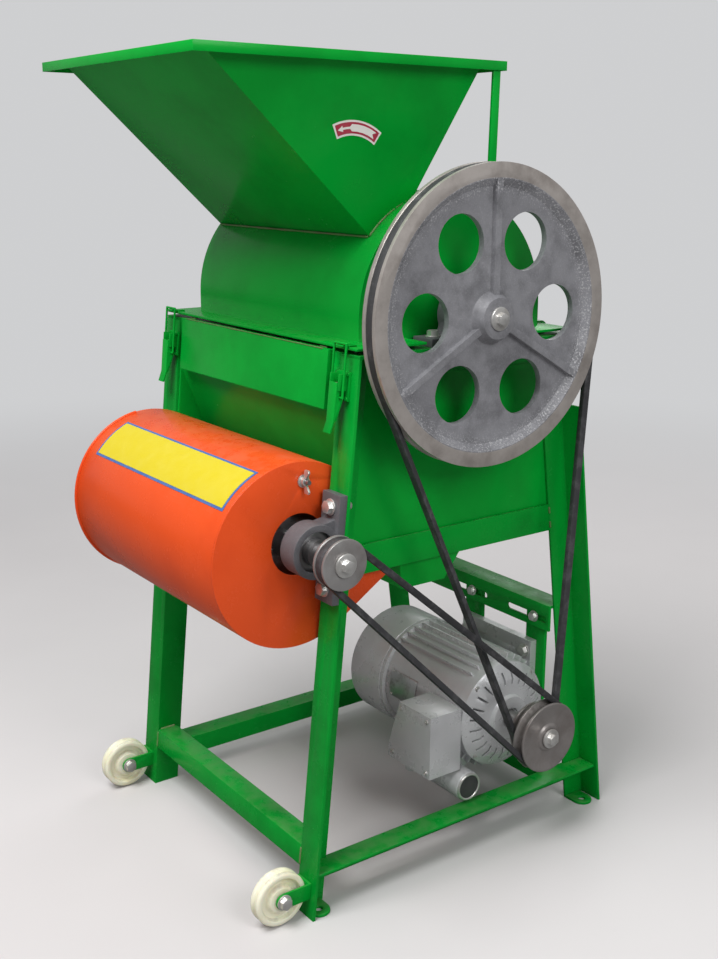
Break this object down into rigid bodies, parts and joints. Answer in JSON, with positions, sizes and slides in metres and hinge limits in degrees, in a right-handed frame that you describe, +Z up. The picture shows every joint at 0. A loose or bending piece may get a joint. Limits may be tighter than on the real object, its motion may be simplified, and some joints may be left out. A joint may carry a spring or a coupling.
{
  "type": "peanut sheller",
  "caption": "Motor driven peanut sheller: splayed angle iron stand, wide hopper over a curved drum cover, husk fan, belt pulleys and small tilt wheels.",
  "frame": {"origin": "middle of the four foot bolt holes, on the floor", "axes": "+X along the drum shaft towards the large pulley, -Y towards the fan, latches and wheels, +Z up"},
  "size_m": [0.5716, 0.666, 1.093],
  "materials": {
    "green_paint": "glossy green paint",
    "orange_paint": "glossy orange paint",
    "grey_paint": "satin grey paint",
    "cast_grey": "painted cast iron, bare turned rim",
    "steel": "bare steel",
    "zinc": "bright zinc",
    "nylon": "ivory nylon",
    "belt": "matt rubber",
    "core": "stacked laminations with varnished windings",
    "alloy": "cast aluminium",
    "black_plastic": "black plastic"
  },
  "bodies": {
    "frame": {"front_legs": "green_paint", "rear_legs": "green_paint", "foot_pads": "green_paint", "low_side_rails": "green_paint", "low_cross_rails": "green_paint", "mid_side_rails": "green_paint", "top_rails": "green_paint", "motor_rails": "green_paint", "motor_bars": "green_paint", "wheel_forks": "green_paint", "side_panels": "green_paint", "front_strip": "green_paint", "end_panels": "green_paint", "chutes": "green_paint", "frame_leaves": "green_paint", "latch_bases": "green_paint", "concave_screen": "steel", "motor_bolts": "zinc", "wheel_bolts": "zinc", "block_bolts": "zinc", "block_inserts": "zinc", "pillow_blocks": "cast_grey", "fan_scroll": "orange_paint", "fan_cheeks": "orange_paint", "motor_frame": "grey_paint", "end_shields": "grey_paint", "fan_cowl": "grey_paint", "terminal_box": "grey_paint", "stator": "core", "capacitor": "alloy", "drum_belt": "belt", "fan_belt": "belt"},
    "cover_body": {"cover": "green_paint", "hopper": "green_paint", "hopper_stays": "green_paint", "cover_leaves": "green_paint", "latch_catches": "green_paint"},
    "right_lever_body": {"right_lever": "green_paint"},
    "left_lever_body": {"left_lever": "green_paint"},
    "right_bail_body": {"right_bail": "green_paint"},
    "left_bail_body": {"left_bail": "green_paint"},
    "drum": {"drum_inner_rings": "steel", "drum_shaft": "steel", "drum_discs": "steel", "beater_bars": "steel", "drum_pulley": "cast_grey", "drum_end_bolt": "zinc"},
    "fan_rotor": {"fan_inner_rings": "steel", "fan_shaft": "steel", "fan_impeller": "steel", "fan_pulley": "cast_grey", "fan_end_bolt": "zinc"},
    "rotor": {"motor_rotor": "steel", "motor_fan": "black_plastic", "motor_pulley": "cast_grey", "motor_end_bolt": "zinc"},
    "right_wheel_body": {"right_wheel": "nylon"},
    "left_wheel_body": {"left_wheel": "nylon"},
    "gate": {"inlet_gate": "steel"},
    "nut": {"wing_nut": "zinc"}
  },
  "joints": [
    {"name": "drum_spin", "type": "hinge", "parent": "frame", "child": "drum", "pos_m": [0, -0.014, 0.78], "axis": [1, 0, 0], "continuous": true},
    {"name": "motor_spin", "type": "hinge", "parent": "frame", "child": "rotor", "pos_m": [0, 0.1, 0.179], "axis": [1, 0, 0], "continuous": true},
    {"name": "fan_spin", "type": "hinge", "parent": "frame", "child": "fan_rotor", "pos_m": [0, -0.25784, 0.507], "axis": [1, 0, 0], "continuous": true},
    {"name": "cover_tip", "type": "hinge", "parent": "frame", "child": "cover_body", "pos_m": [0, 0.168, 0.748], "axis": [-1, 0, 0], "range_deg": [0, 75]},
    {"name": "gate_turn", "type": "hinge", "parent": "frame", "child": "gate", "pos_m": [0.196, -0.25084, 0.588], "axis": [1, 0, 0], "range_deg": [0, 45]},
    {"name": "nut_turn", "type": "hinge", "parent": "frame", "child": "nut", "pos_m": [0.205, -0.25084, 0.588], "axis": [1, 0, 0], "continuous": true},
    {"name": "right_lever_turn", "type": "hinge", "parent": "frame", "child": "right_lever_body", "pos_m": [0.218, -0.21209, 0.7057], "axis": [-1, 0, 0], "range_deg": [0, 110]},
    {"name": "right_bail_turn", "type": "hinge", "parent": "right_lever_body", "child": "right_bail_body", "pos_m": [0.218, -0.21343, 0.69176], "axis": [-1, 0, 0], "range_deg": [-110, 0]},
    {"name": "left_lever_turn", "type": "hinge", "parent": "frame", "child": "left_lever_body", "pos_m": [-0.218, -0.21209, 0.7057], "axis": [-1, 0, 0], "range_deg": [0, 110]},
    {"name": "left_bail_turn", "type": "hinge", "parent": "left_lever_body", "child": "left_bail_body", "pos_m": [-0.218, -0.21343, 0.69176], "axis": [-1, 0, 0], "range_deg": [-110, 0]},
    {"name": "right_wheel_spin", "type": "hinge", "parent": "frame", "child": "right_wheel_body", "pos_m": [0.221, -0.308, 0.039], "axis": [1, 0, 0], "continuous": true},
    {"name": "left_wheel_spin", "type": "hinge", "parent": "frame", "child": "left_wheel_body", "pos_m": [-0.232, -0.308, 0.039], "axis": [1, 0, 0], "continuous": true}
  ],
  "couplings": [
    {"joint": "motor_spin", "follows": "drum_spin", "ratio": 5.169},
    {"joint": "fan_spin", "follows": "drum_spin", "ratio": 8.6933},
    {"joint": "right_bail_turn", "follows": "right_lever_turn", "ratio": -1},
    {"joint": "left_bail_turn", "follows": "left_lever_turn", "ratio": -1}
  ]
}
